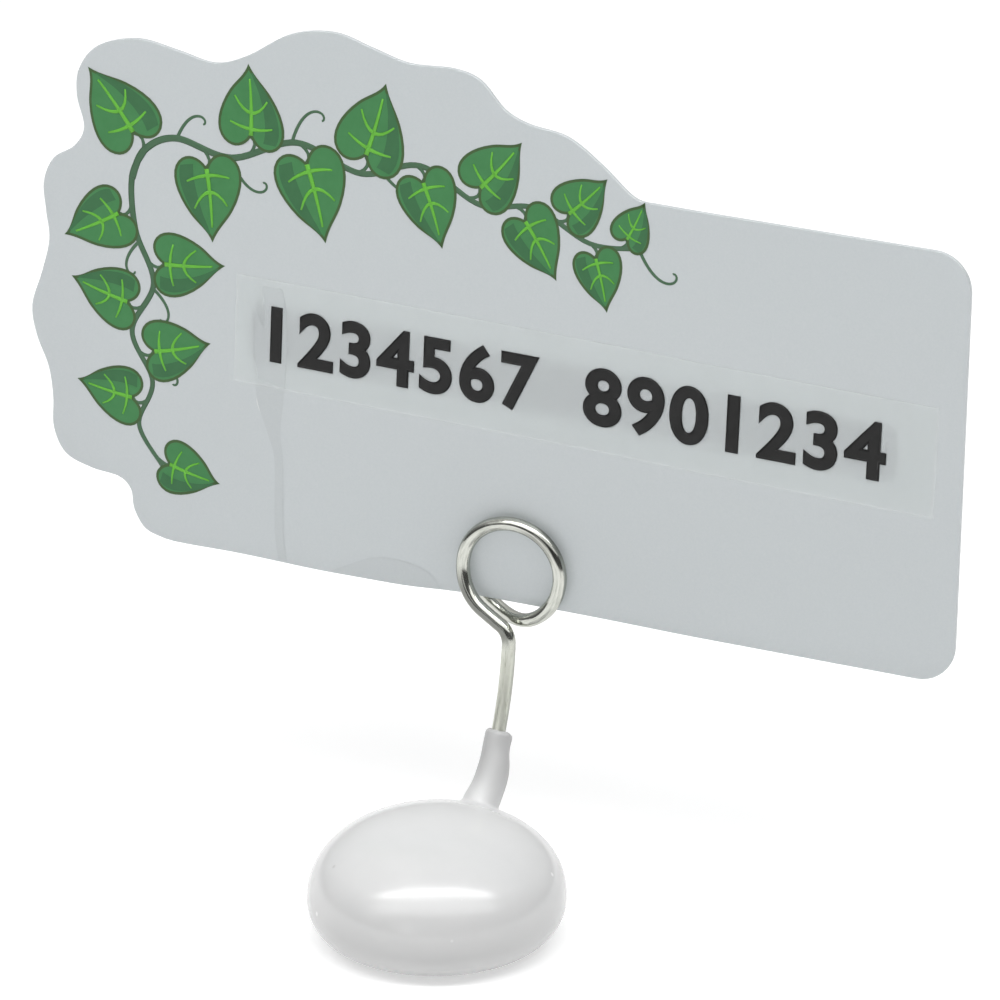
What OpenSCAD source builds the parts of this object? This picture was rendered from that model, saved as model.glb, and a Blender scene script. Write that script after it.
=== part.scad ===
// Table tag holder: a weighted, vinyl-dipped base, a bent wire that ends in a flat coil,
// and a die-cut tag that the coil grips by its lower edge.
// The origin is the centre of the base's flat underside.
// X runs along the tag, to the right seen from its front. Y runs to its back, and Z is up.

/* [Base] */
// Widest diameter of the coated base
base_d = 43.4; // [38:0.2:60]
// Height of the coated base
base_h = 21.2; // [18:0.2:34]
// Height of the widest ring above the table
belly_h = 7; // [5:0.5:10]
// Diameter of the flat underside
foot_d = 29; // [20:1:34]
// Fullness of the dome, where 2 is a plain ellipse
dome_power = 2.2; // [1.9:0.05:2.6]
// Thickness of the vinyl skin
coat_t = 1.2; // [0.6:0.1:2.4]

/* [Neck] */
// How far behind the base's axis the wire leaves the dome
neck_back = 16.5; // [10:0.1:17]
// Length of the vinyl sleeve along the wire
neck_len = 12.4; // [6:0.2:16]
// Diameter of the sleeve where it leaves the dome
neck_root_d = 6.1; // [5:0.1:8]
// Diameter of the sleeve at its top
neck_top_d = 4.7; // [4.2:0.1:6]
// Rounding of the sleeve's top rim
neck_rim_r = 0.8; // [0.3:0.1:1]
// Radius of the soft blend between the sleeve and the dome
neck_blend_r = 0.7; // [0.3:0.1:2]

/* [Wire] */
// Diameter of the wire
wire_d = 2.4; // [1.6:0.1:3]
// Depth of the wire's leg below the dome's surface
leg_in = 11; // [6:0.5:13]
// Lean of the leg from upright, in degrees
leg_lean = 41; // [25:1:45]
// Length from the dome to the corner where the leg turns into the stem
leg_out = 15.7; // [10:0.1:24]
// Lean of the stem from upright, in degrees
stem_lean = 5; // [3:1:12]
// Length of the stem between its two corners
stem_len = 15.1; // [9:0.1:40]
// Radius of the long bend from the leg to the stem
stem_bend_r = 40; // [12:1:60]
// Radius of the bend under the coil
crook_r = 3.5; // [2.5:0.1:5]
// Depth of that bend's corner below the coil's centre
crook_drop = 10.7; // [10.2:0.1:16]
// Sideways offset of the stem from the coil's centre
crook_side = 0.3; // [-2:0.1:2]
// Inside diameter of the coil
coil_in_d = 15.4; // [12:0.1:17]
// How far the wire stands off the tag where it enters the coil
coil_lead = 0.9; // [0.5:0.1:2]
// Turn of the hidden tail behind the tag, in degrees
tail_turn = 250; // [120:5:300]

/* [Tag] */
// Overall length of the tag
tag_w = 171.4; // [150:0.2:220]
// Overall height of the tag
tag_h = 94; // [85:0.5:130]
// Height of the plain right part of the tag
shoulder_h = 73.6; // [60:0.1:80]
// Length of the raised, scalloped part
crest_w = 111.6; // [90:0.2:130]
// Thickness of the tag
tag_t = 0.8; // [0.4:0.1:1.6]
// Radius of the tag's right corners
corner_r = 6.5; // [3:0.5:12]
// Distance from the coil's centre to the tag's right edge
tag_reach = 79.7; // [60:0.1:100]
// Height of the tag's lower edge above the inside of the coil's bottom
tag_lift = 1.7; // [1:0.1:5]
// Lean of the tag to the back, in degrees
tag_lean = 3.2; // [0:0.1:8]
// Gap between the wire and each face of the tag
grip_gap = 0.1; // [0.05:0.05:0.4]

/* [Label tape] */
// Length of the clear tape
tape_w = 128; // [60:1:140]
// Width of the clear tape
tape_h = 19; // [9:0.5:24]
// Thickness of the tape
tape_t = 0.1; // [0.05:0.05:0.3]
// Distance from the tag's right edge to the tape
tape_inset = 4.6; // [2:0.2:12]
// Height of the tape's middle above the tag's lower edge
tape_up = 38.8; // [20:0.2:50]
// Turn of the tape on the tag, in degrees
tape_turn = -1; // [-3:0.5:3]

/* [Hidden] */
// Play between the weight, the wire and the skin that wraps them
fit = 0.05;
// Facets of round bodies and sides of swept tubes
round_fn = 72;
wire_sides = 12;
neck_sides = 28;
// Steps along the wire: its bends, the straight run into the coil, and degrees round the coil
bend_steps = 12;
run_steps = 3;
coil_step = 8;
// Steps along the sleeve: its flare, its taper, its rim and its bore
flare_steps = 5;
taper_steps = 5;
rim_steps = 4;
bore_steps = 10;
// Steps along each quarter of the dome, between two scallop knots, and round the tag's corners
profile_steps = 12;
knot_steps = 6;
corner_steps = 10;

// Dome: a superellipse above the belly and a quarter ellipse below it, drawn in by inset
function dome_edge(inset) =
    let (r = base_d / 2 - inset, foot = (foot_d - inset) / 2, top = base_h - inset)
    concat(
        [[0, inset]],
        [for (i = [0 : profile_steps])
            let (a = 90 * i / profile_steps)
            [foot + (r - foot) * sin(a), belly_h - (belly_h - inset) * cos(a)]],
        [for (i = [1 : profile_steps])
            let (a = 90 * i / profile_steps)
            [r * pow(max(cos(a), 0), 2 / dome_power),
             belly_h + (top - belly_h) * pow(sin(a), 2 / dome_power)]]);

// Height of the dome's skin at a distance from its axis
function dome_z(r) =
    belly_h + (base_h - belly_h) * pow(1 - pow(2 * r / base_d, dome_power), 1 / dome_power);

function unit(v) = v / norm(v);

// Corners of the wire's route, from the dome up to the coil
root = [0, neck_back, dome_z(neck_back)];
leg_dir = [0, sin(leg_lean), cos(leg_lean)];
stem_dir = [0, sin(stem_lean), cos(stem_lean)];
leg_tip = root - leg_in * leg_dir;
leg_corner = root + leg_out * leg_dir;
crook_corner = leg_corner + stem_len * stem_dir;

// Coil: its two turns lie on the tag's faces
coil_r = (coil_in_d + wire_d) / 2;
coil_pitch = wire_d + tag_t + 2 * grip_gap;
tag_up = [0, sin(tag_lean), cos(tag_lean)];
tag_front = [0, -cos(tag_lean), sin(tag_lean)];
coil_centre = crook_corner - [crook_side, 0, 0] + crook_drop * tag_up
    - (coil_pitch / 2 + coil_lead) * tag_front;
function on_tag(p) = coil_centre + [p.x, 0, 0] + p.y * tag_up + p.z * tag_front;

// Round bend at corner b between the lines to a and to c
function bend_turn(a, b, c) = 180 - acos(unit(a - b) * unit(c - b));
function bend(a, b, c, r) =
    let (u = unit(a - b), v = unit(c - b), turn = bend_turn(a, b, c))
    let (centre = b + unit(u + v) * r / cos(turn / 2))
    let (out = unit(b + u * r * tan(turn / 2) - centre))
    [for (i = [0 : bend_steps])
        let (s = turn * i / bend_steps)
        centre + r * (out * cos(s) - u * sin(s))];

// The straight run from the crook meets the coil's left side as a tangent
crook_flat = [crook_side, -crook_drop];
start_angle = 360 + atan2(crook_flat.y, crook_flat.x) - acos(coil_r / norm(crook_flat));
cross_half = acos(1 - (tag_lift - grip_gap) / coil_r);
end_angle = -90 - cross_half - tail_turn;

// Going round, the wire closes on the tag's face over this turn, then passes under its edge
lead_turn = 75;
function ease(s) = let (t = min(1, max(0, s))) t * t * (3 - 2 * t);
function coil_depth(a) =
    coil_pitch * (0.5 - ease((cross_half - 90 - a) / (2 * cross_half)))
    + coil_lead * (1 - ease((start_angle - a) / lead_turn));
function coil_at(a) = on_tag([coil_r * cos(a), coil_r * sin(a), coil_depth(a)]);
coil_points = [for (a = [start_angle : -coil_step : end_angle]) coil_at(a)];

// Bends, limited by the straight runs beside them
crook_turn = bend_turn(leg_corner, crook_corner, coil_points[0]);
crook_reach = crook_r * tan(crook_turn / 2);
stem_turn = bend_turn(leg_tip, leg_corner, crook_corner);
stem_run = min(leg_out, stem_len - crook_reach);
stem_fit_r = min(stem_bend_r, stem_run / tan(stem_turn / 2));
stem_points = bend(leg_tip, leg_corner, crook_corner, stem_fit_r);
crook_points = bend(leg_corner, crook_corner, coil_points[0], crook_r);
crook_end = crook_points[bend_steps];
run_points = [for (i = [1 : run_steps]) crook_end + (coil_points[0] - crook_end) * i / (run_steps + 1)];
coil_route = concat(crook_points, run_points, coil_points);
wire_points = concat([leg_tip], stem_points, coil_route);

// A point on the wire at a length above the dome's skin
leg_free = leg_out - stem_fit_r * tan(stem_turn / 2);
stem_centre = stem_points[0] + stem_fit_r * [0, -cos(leg_lean), sin(leg_lean)];
function wire_at(s) =
    s < leg_free ? root + s * leg_dir
    : let (a = leg_lean - (s - leg_free) / stem_fit_r * 180 / PI)
      stem_centre + stem_fit_r * [0, cos(a), -sin(a)];

// Sleeve: a flare out of the dome, a slow taper, and a rounded rim
neck_sink = coat_t + 2 * neck_blend_r;
function neck_taper(s) = (neck_root_d + (neck_top_d - neck_root_d) * max(s, 0) / neck_len) / 2;
neck_rings = concat(
    [[-neck_sink, neck_taper(0) + neck_blend_r]],
    [for (i = [0 : flare_steps])
        let (a = 90 * i / flare_steps)
        [neck_blend_r * (1 - 2 * cos(a)), neck_taper(0) + neck_blend_r * (1 - sin(a))]],
    [for (i = [1 : taper_steps])
        let (s = neck_blend_r + (neck_len - neck_rim_r - neck_blend_r) * i / taper_steps)
        [s, neck_taper(s)]],
    [for (i = [1 : rim_steps])
        let (a = 90 * i / rim_steps)
        [neck_len - neck_rim_r * (1 - sin(a)), neck_taper(neck_len) - neck_rim_r * (1 - cos(a))]]);

// Route of the sleeve's bore, from inside the weight's space to above the rim
bore_points = [for (i = [0 : bore_steps])
    wire_at(-neck_sink + (neck_len + 2 * neck_sink) * i / bore_steps)];

// Least gap of the wire to itself, between parts that lie further apart along it than this
gap_apart = 3 * wire_d;
gap_skip = ceil(gap_apart / (coil_r * coil_step * PI / 180));
gap_start = len(crook_points) + len(run_points) + gap_skip;
last_route = len(coil_route) - 1;
coil_gap = min([for (i = [0 : last_route])
    for (j = [max(i + gap_skip, gap_start) : 1 : last_route])
        norm(coil_route[i] - coil_route[j])]) - wire_d;
echo(least_coil_gap_mm = coil_gap, coil_centre_mm = coil_centre);

// Tag outline, measured from the coil's centre
tag_left = tag_reach - tag_w;
tag_bottom = tag_lift - coil_in_d / 2;
shoulder_y = tag_bottom + shoulder_h;
// Scallops along the top, as shares of the crest's length and of its rise over the shoulder
crest_knots = [
    [1.035, 0], [0.998, 0.025], [0.945, 0.245], [0.888, 0.435], [0.825, 0.49], [0.785, 0.58],
    [0.745, 0.79], [0.7, 0.855], [0.628, 0.84], [0.566, 0.92], [0.503, 1], [0.431, 0.925],
    [0.36, 0.685], [0.306, 0.58], [0.243, 0.635], [0.176, 0.68], [0.11, 0.57], [0.078, 0.35]];
crest_rise = tag_h - shoulder_h;
end_h = shoulder_h + crest_knots[len(crest_knots) - 1].y * crest_rise;
// Scallops down the left end: distance from the end, and share of the height where the crest stops
end_knots = [
    [8.3, 0.94], [9.7, 0.875], [7.9, 0.83], [3.9, 0.795], [2.1, 0.74], [2.6, 0.675],
    [3.2, 0.615], [1.8, 0.54], [0, 0.465], [0.9, 0.4], [3.2, 0.335], [4.1, 0.27],
    [4.3, 0.2], [6.7, 0.147], [11.7, 0.125], [16.8, 0.117], [19.2, 0.093], [19.9, 0.05],
    [22.2, 0.01], [26, 0]];
scallop_knots = concat(
    [for (k = crest_knots) [tag_left + k.x * crest_w, shoulder_y + k.y * crest_rise]],
    [for (k = end_knots) [tag_left + k.x, tag_bottom + k.y * end_h]]);

// Smooth curve through the knots, with each knot's slope set by its neighbours
function curve_at(p, q, r, s, t) =
    0.5 * (2 * q + (r - p) * t + (2 * p - 5 * q + 4 * r - s) * t * t
        + (3 * q - p - 3 * r + s) * t * t * t);
last_knot = len(scallop_knots) - 1;
scallop_points = concat(
    [for (i = [0 : last_knot - 1])
        for (k = [0 : knot_steps - 1])
            curve_at(scallop_knots[max(i - 1, 0)], scallop_knots[i], scallop_knots[i + 1],
                scallop_knots[min(i + 2, last_knot)], k / knot_steps)],
    [scallop_knots[last_knot]]);
function corner_points(centre, from) =
    [for (i = [0 : corner_steps])
        let (a = from + 90 * i / corner_steps)
        centre + corner_r * [cos(a), sin(a)]];
tag_points = concat(
    corner_points([tag_reach - corner_r, tag_bottom + corner_r], -90),
    corner_points([tag_reach - corner_r, shoulder_y - corner_r], 0),
    scallop_points);

// A round tube through points, with its own radius at each
module tube(points, radii, sides, across) {
    last = len(points) - 1;
    rings = [for (i = [0 : last])
        let (ahead = unit(points[min(i + 1, last)] - points[max(i - 1, 0)]))
        let (side = unit(cross(ahead, across)), over = cross(side, ahead))
        for (k = [0 : sides - 1])
            let (a = 360 * k / sides)
            points[i] + radii[i] * (side * cos(a) + over * sin(a))];
    walls = [for (i = [0 : last - 1])
        for (k = [0 : sides - 1])
            let (near = i * sides, far = near + sides, next = (k + 1) % sides)
            each [[near + k, far + next, far + k], [near + k, near + next, far + next]]];
    caps = [for (k = [1 : sides - 2])
        each [[0, k + 1, k], [last * sides, last * sides + k, last * sides + k + 1]]];
    polyhedron(rings, concat(walls, caps));
}

module wire_tube(points, grow) {
    tube(points, [for (p = points) wire_d / 2 + grow], wire_sides, tag_front);
}

module dome(inset) {
    rotate_extrude($fn = round_fn) polygon(dome_edge(inset));
}

// Straight hole for the wire's leg, from its tip out through the dome
module leg_hole() {
    translate(leg_tip - fit * leg_dir) rotate([-leg_lean, 0, 0])
        cylinder(h = leg_in + fit + coat_t, d = wire_d + 2 * fit, $fn = round_fn);
}

// Places flat work on the tag's middle plane, with its front towards the reader
module on_tag_plane() {
    translate(coil_centre) rotate([90 - tag_lean, 0, 0]) children();
}

// Cast slug that keeps the holder upright
module base_weight() {
    color("dimgray") difference() {
        dome(coat_t + fit);
        leg_hole();
    }
}

// One spring wire: a leg in the weight, the stem, and the coil that grips the tag
module wire_clip() {
    color("silver") wire_tube(wire_points, 0);
}

// Dipped vinyl skin that covers the weight and climbs the wire
module base_coat() {
    color("white") difference() {
        union() {
            dome(0);
            tube([for (n = neck_rings) wire_at(n[0])], [for (n = neck_rings) n[1]], neck_sides, [1, 0, 0]);
        }
        dome(coat_t);
        wire_tube(bore_points, fit);
    }
}

// Die-cut plastic tag
module tag_card() {
    color("gainsboro") on_tag_plane()
        linear_extrude(tag_t, center = true) polygon(tag_points);
}

// Clear label tape on the tag's face
module label_tape() {
    color("whitesmoke") on_tag_plane()
        translate([tag_reach - tape_inset - tape_w / 2, tag_bottom + tape_up, tag_t / 2])
            rotate(tape_turn) translate([-tape_w / 2, -tape_h / 2, 0]) cube([tape_w, tape_h, tape_t]);
}

base_weight();
wire_clip();
base_coat();
tag_card();
label_tape();
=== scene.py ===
"""Looks of a table tag holder: a dipped base, a bent wire clip and a printed, die-cut tag.

Pieces are drawn in millimetres and brought to metres when they are put in place.
"""
import math

import bpy
from mathutils import Matrix, Vector


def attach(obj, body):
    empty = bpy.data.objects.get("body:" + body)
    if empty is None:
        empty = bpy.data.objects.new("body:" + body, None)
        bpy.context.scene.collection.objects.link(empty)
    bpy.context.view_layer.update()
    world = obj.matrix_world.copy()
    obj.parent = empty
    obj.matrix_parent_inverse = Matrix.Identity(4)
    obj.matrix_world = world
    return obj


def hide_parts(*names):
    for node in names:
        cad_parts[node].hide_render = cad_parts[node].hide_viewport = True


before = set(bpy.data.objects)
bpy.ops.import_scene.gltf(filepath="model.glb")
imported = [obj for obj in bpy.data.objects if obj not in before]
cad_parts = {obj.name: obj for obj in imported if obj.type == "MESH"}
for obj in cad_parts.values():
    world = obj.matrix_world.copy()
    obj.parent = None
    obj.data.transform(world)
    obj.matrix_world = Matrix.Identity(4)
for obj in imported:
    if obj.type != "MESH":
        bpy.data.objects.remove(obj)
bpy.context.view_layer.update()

MM = 0.001

# Base and neck, as in the solids
BASE_D = 43.4
BASE_H = 21.2
BELLY_H = 7.0
FOOT_D = 29.0
DOME_POWER = 2.2
COAT_T = 1.2
NECK_BACK = 16.5
NECK_LEN = 12.4
NECK_ROOT_D = 6.1
NECK_BLEND_R = 1.3
FIT = 0.05

# Wire, as in the solids
WIRE_D = 2.4
LEG_IN = 11.0
LEG_LEAN = math.radians(41)
LEG_OUT = 15.7
STEM_LEAN = math.radians(5)
STEM_LEN = 15.1
STEM_BEND_R = 40.0
CROOK_R = 3.5
CROOK_DROP = 10.7
CROOK_SIDE = 0.3
COIL_IN_D = 15.4
COIL_LEAD = 0.9
LEAD_TURN = math.radians(75)
TAIL_TURN = math.radians(250)
COIL_SQUASH = 0.93

# Tag and tape, as in the solids
TAG_T = 0.8
TAG_REACH = 79.7
TAG_LIFT = 1.7
TAG_LEAN = math.radians(3.2)
GRIP_GAP = 0.1
TAPE_W = 128.0
TAPE_H = 19.0
TAPE_T = 0.1
TAPE_INSET = 4.6
TAPE_UP = 38.8
TAPE_TURN = math.radians(-1)

# Camera: the photo's angle, and where the base's centre lies in its 1000 by 1000 frame
VIEW_TURN = math.radians(25.4)
VIEW_RISE = math.radians(22.5)
VIEW_DISTANCE = 1333.33
FRAME_SIDE = 1000
ORIGIN_PIXEL = (436.9, 934.5)
LENS = 288
SENSOR = 36
VIEW_RIGHT = Vector((math.cos(VIEW_TURN), math.sin(VIEW_TURN), 0))


# Selecting and editing

MERGE = 0.001
ROUND_ANGLE = 60


def take(piece):
    """Selects one object alone and makes it active."""
    bpy.ops.object.select_all(action="DESELECT")
    piece.select_set(True)
    bpy.context.view_layer.objects.active = piece


def open_mesh(piece, kind="VERT"):
    """Opens a piece in edit mode with nothing selected."""
    take(piece)
    bpy.ops.object.mode_set(mode="EDIT")
    bpy.ops.mesh.select_mode(type=kind)
    bpy.ops.mesh.select_all(action="DESELECT")


def open_all(piece):
    """Opens a piece in edit mode with all of it selected."""
    open_mesh(piece)
    bpy.ops.mesh.select_all(action="SELECT")


def open_picked(piece, picked):
    """Opens a piece in edit mode with the picked points selected."""
    open_mesh(piece)
    close_mesh()
    for vertex, wanted in zip(piece.data.vertices, picked):
        vertex.select = wanted
    bpy.ops.object.mode_set(mode="EDIT")


def close_mesh():
    """Goes back to object mode."""
    bpy.ops.object.mode_set(mode="OBJECT")


def apply_modifier(piece, kind, **settings):
    """Adds a modifier with these settings and applies it."""
    take(piece)
    modifier = piece.modifiers.new(kind.title(), kind)
    for setting, value in settings.items():
        setattr(modifier, setting, value)
    bpy.ops.object.modifier_apply(modifier=modifier.name)


def join(name, pieces):
    """Joins pieces into the first one."""
    take(pieces[0])
    for piece in pieces[1:]:
        piece.select_set(True)
    bpy.ops.object.join()
    pieces[0].name = name
    pieces[0].data.name = name
    return pieces[0]


def place_mesh(piece, place):
    """Moves a piece by a matrix, with its object left at the origin."""
    take(piece)
    piece.matrix_world = place
    bpy.ops.object.transform_apply(location=True, rotation=True, scale=True)


def stand(spot, across, up, back):
    """Place and turn from a point and three directions."""
    return Matrix.Translation(spot) @ Matrix((across, up, back)).transposed().to_4x4()


def smooth(piece, degrees=40):
    """Shades a piece smooth, but for edges sharper than an angle."""
    take(piece)
    bpy.ops.object.shade_smooth_by_angle(angle=math.radians(degrees))


def store(piece, name, values):
    """Stores a value on each point of a piece, for its finish."""
    layer = piece.data.attributes.new(name, "FLOAT", "POINT")
    layer.data.foreach_set("value", values)


def settle(piece, finish, body, slot, *nodes):
    """Gives a finished piece its material and its body, and hides the solids it stands for. The slot is not
    used.
    """
    if not piece.data.materials:
        piece.data.materials.append(finish)
    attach(piece, body)
    if nodes:
        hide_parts(*nodes)


def draw_strokes(name, strokes, sides, caps=True):
    """Round strokes drawn along routes, with a radius at each point, made one mesh."""
    drawing = bpy.data.curves.new(name, "CURVE")
    drawing.dimensions = "3D"
    drawing.bevel_depth = 1
    drawing.bevel_resolution = sides // 2 - 2
    drawing.use_fill_caps = caps
    for route, radii in strokes:
        line = drawing.splines.new("POLY")
        line.points.add(len(route) - 1)
        for point, spot, radius in zip(line.points, route, radii):
            point.co = (*spot, 1)
            point.radius = radius
    piece = bpy.data.objects.new(name, drawing)
    bpy.context.collection.objects.link(piece)
    take(piece)
    bpy.ops.object.convert(target="MESH")
    piece = bpy.context.object
    if caps:
        open_all(piece)
        bpy.ops.mesh.remove_doubles(threshold=MERGE)
        close_mesh()
    return piece


# Route of the wire

def lean(angle):
    """Direction that leans from upright to the back."""
    return Vector((0, math.sin(angle), math.cos(angle)))


def ease(share):
    """Share from 0 to 1 that starts and ends softly."""
    share = min(1, max(0, share))
    return share * share * (3 - 2 * share)


def dome_z(r):
    """Height of the dome's skin at a distance from its axis."""
    share = 1 - (2 * r / BASE_D) ** DOME_POWER
    return BELLY_H + (BASE_H - BELLY_H) * share ** (1 / DOME_POWER)


LEG_DIR = lean(LEG_LEAN)
ROOT = Vector((0, NECK_BACK, dome_z(NECK_BACK)))
LEG_TIP = ROOT - LEG_IN * LEG_DIR
LEG_CORNER = ROOT + LEG_OUT * LEG_DIR
CROOK_CORNER = LEG_CORNER + STEM_LEN * lean(STEM_LEAN)
TAG_UP = lean(TAG_LEAN)
TAG_FRONT = Vector((0, -math.cos(TAG_LEAN), math.sin(TAG_LEAN)))
COIL_R = (COIL_IN_D + WIRE_D) / 2
COIL_PITCH = WIRE_D + TAG_T + 2 * GRIP_GAP
COIL_CENTRE = (CROOK_CORNER - Vector((CROOK_SIDE, 0, 0)) + CROOK_DROP * TAG_UP
               - (COIL_PITCH / 2 + COIL_LEAD) * TAG_FRONT)
CROOK_ANGLE = math.atan2(-CROOK_DROP, CROOK_SIDE)
START_ANGLE = 2 * math.pi + CROOK_ANGLE - math.acos(COIL_R / math.hypot(CROOK_SIDE, CROOK_DROP))
CROSS_HALF = math.acos(1 - (TAG_LIFT - GRIP_GAP) / COIL_R)
END_ANGLE = -math.pi / 2 - CROSS_HALF - TAIL_TURN


def coil_at(angle):
    """Point of the coil: it closes on the tag's face, then passes under its edge to the back."""
    under = ease((CROSS_HALF - math.pi / 2 - angle) / (2 * CROSS_HALF))
    lead = COIL_LEAD * (1 - ease((START_ANGLE - angle) / LEAD_TURN))
    depth = COIL_PITCH * (0.5 - under) + lead
    rise = math.sin(angle)
    if rise > 0:
        rise *= COIL_SQUASH
    across = Vector((COIL_R * math.cos(angle), 0, 0))
    return COIL_CENTRE + across + COIL_R * rise * TAG_UP + depth * TAG_FRONT


def bend(before, corner, after, radius, steps):
    """Round bend at a corner between two straight runs."""
    u = (before - corner).normalized()
    v = (after - corner).normalized()
    turn = math.pi - u.angle(v)
    centre = corner + (u + v).normalized() * radius / math.cos(turn / 2)
    out = (corner + u * radius * math.tan(turn / 2) - centre).normalized()
    angles = [turn * i / steps for i in range(steps + 1)]
    return [centre + radius * (out * math.cos(a) - u * math.sin(a)) for a in angles]


def straight(start, end, steps):
    """Points between two ends, without the ends."""
    return [start.lerp(end, i / steps) for i in range(1, steps)]


LEG_STEPS = 10
STEM_STEPS = 40
RISE_STEPS = 6
CROOK_STEPS = 16
LEAD_STEPS = 8
COIL_STEPS = 210


def wire_route():
    """The wire's centre line from its leg in the weight to the coil's tail."""
    sweep = END_ANGLE - START_ANGLE
    coil = [coil_at(START_ANGLE + sweep * i / COIL_STEPS) for i in range(COIL_STEPS + 1)]
    stem = bend(LEG_TIP, LEG_CORNER, CROOK_CORNER, STEM_BEND_R, STEM_STEPS)
    crook = bend(LEG_CORNER, CROOK_CORNER, coil[0], CROOK_R, CROOK_STEPS)
    return ([LEG_TIP] + straight(LEG_TIP, stem[0], LEG_STEPS)
            + stem + straight(stem[-1], crook[0], RISE_STEPS)
            + crook + straight(crook[-1], coil[0], LEAD_STEPS) + coil)


def lengths(route):
    """Length along a route at each of its points."""
    run = [0.0]
    for near, far in zip(route, route[1:]):
        run.append(run[-1] + (far - near).length)
    return run


def wire_at(height):
    """Point of the wire at a length above the dome's skin."""
    route = wire_route()
    run = lengths(route)
    target = height + LEG_IN
    for i in range(1, len(route)):
        if run[i] >= target:
            return route[i - 1].lerp(route[i], (target - run[i - 1]) / (run[i] - run[i - 1]))
    return route[-1]


# Dipped vinyl skin

NECK_SIDES = 64
BALL_RINGS = 72
BALL_DEPTH = 14.0
DIP_LEAN = 0.02
HALVINGS = 40


def in_dome(spot, inset):
    """Whether a point lies in the dome, drawn in by an inset."""
    wide = BASE_D / 2 - inset
    foot = (FOOT_D - inset) / 2
    r = math.hypot(spot.x, spot.y)
    if spot.z >= BELLY_H:
        rise = (spot.z - BELLY_H) / (BASE_H - inset - BELLY_H)
        return (r / wide) ** DOME_POWER + rise ** DOME_POWER < 1
    across = max(r - foot, 0) / (wide - foot)
    drop = (BELLY_H - spot.z) / (BELLY_H - inset)
    return across ** 2 + drop ** 2 < 1


def dome_reach(start, way, inset):
    """Distance from a point inside to the dome's wall."""
    near = 0.0
    far = 2 * BASE_D
    for _ in range(HALVINGS):
        middle = (near + far) / 2
        if in_dome(start + way * middle, inset):
            near = middle
        else:
            far = middle
    return near


def mark_loop(piece, name, picked):
    """Names a loop of points, to find it again after joining."""
    group = piece.vertex_groups.new(name=name)
    group.add(picked, 1.0, "REPLACE")


def dome_ball(name, inset, mouth_r):
    """Ball pulled onto the dome's form, with its pole at the neck and a round mouth there."""
    heart = ROOT - BALL_DEPTH * LEG_DIR
    bpy.ops.mesh.primitive_uv_sphere_add(segments=NECK_SIDES, ring_count=BALL_RINGS, radius=1,
                                         location=heart, rotation=(-LEG_LEAN, 0, 0))
    ball = bpy.context.object
    ball.name = name
    bpy.ops.object.transform_apply(location=True, rotation=True, scale=True)
    ways = [(v.co - heart).normalized() for v in ball.data.vertices]
    for vertex, way in zip(ball.data.vertices, ways):
        vertex.co = heart + way * dome_reach(heart, way, inset)
        vertex.co.x += DIP_LEAN * (vertex.co.z - BELLY_H)
    ring_step = math.pi / BALL_RINGS
    cut = (round(math.atan2(mouth_r, BALL_DEPTH) / ring_step) - 0.5) * ring_step
    open_picked(ball, [way.angle(LEG_DIR) < cut for way in ways])
    bpy.ops.mesh.delete(type="VERT")
    close_mesh()
    rim = [v.index for v in ball.data.vertices
           if (v.co - heart).normalized().angle(LEG_DIR) < cut + ring_step]
    mark_loop(ball, name, rim)
    return ball


# Rings of the neck by height above the dome's skin and radius; sags of its rim by size, waves and turn
NECK_RINGS = ((1.3, 3.05), (2.4, 2.92), (3.6, 2.86), (5.0, 2.80), (6.2, 2.75),
              (7.2, 2.64), (8.2, 2.48), (9.3, 2.36), (10.5, 2.31), (11.5, 2.33),
              (12.1, 2.36), (12.5, 2.32), (12.8, 2.16), (13.0, 1.88), (13.05, 1.60))
NECK_BOW = 0.6
NECK_SET = 0.2
NECK_BOW_END = 0.8
NECK_SAGS = ((0.16, 1, 0.6), (0.09, 2, 2.0), (0.05, 5, 0.0))
SAG_START = 9.0
SAG_RUN = 4.0
BLEND_CUTS = 8
BORE_STEPS = 12


def neck_bow(height):
    """How far the dipped neck strays sideways from its wire."""
    share = max(height, 0) / NECK_LEN
    bow = NECK_BOW * math.sin(math.pi * min(share / NECK_BOW_END, 1))
    return Vector((NECK_SET * share + bow, 0, 0))


def skin_tube(name, rings, bow=0.0):
    """Open tube round the wire, through rings of height and radius."""
    route = [wire_at(height) + bow * neck_bow(height) for height, radius in rings]
    tube = draw_strokes(name, [(route, [radius for height, radius in rings])], NECK_SIDES, caps=False)
    mark_loop(tube, name + "_foot", list(range(NECK_SIDES)))
    count = len(tube.data.vertices)
    mark_loop(tube, name + "_top", list(range(count - NECK_SIDES, count)))
    return tube


def bridge(piece, first, second, **settings):
    """Closes the wall between two named loops."""
    open_mesh(piece)
    for name in (first, second):
        piece.vertex_groups.active = piece.vertex_groups[name]
        bpy.ops.object.vertex_group_select()
    bpy.ops.mesh.bridge_edge_loops(**settings)
    close_mesh()


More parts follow.
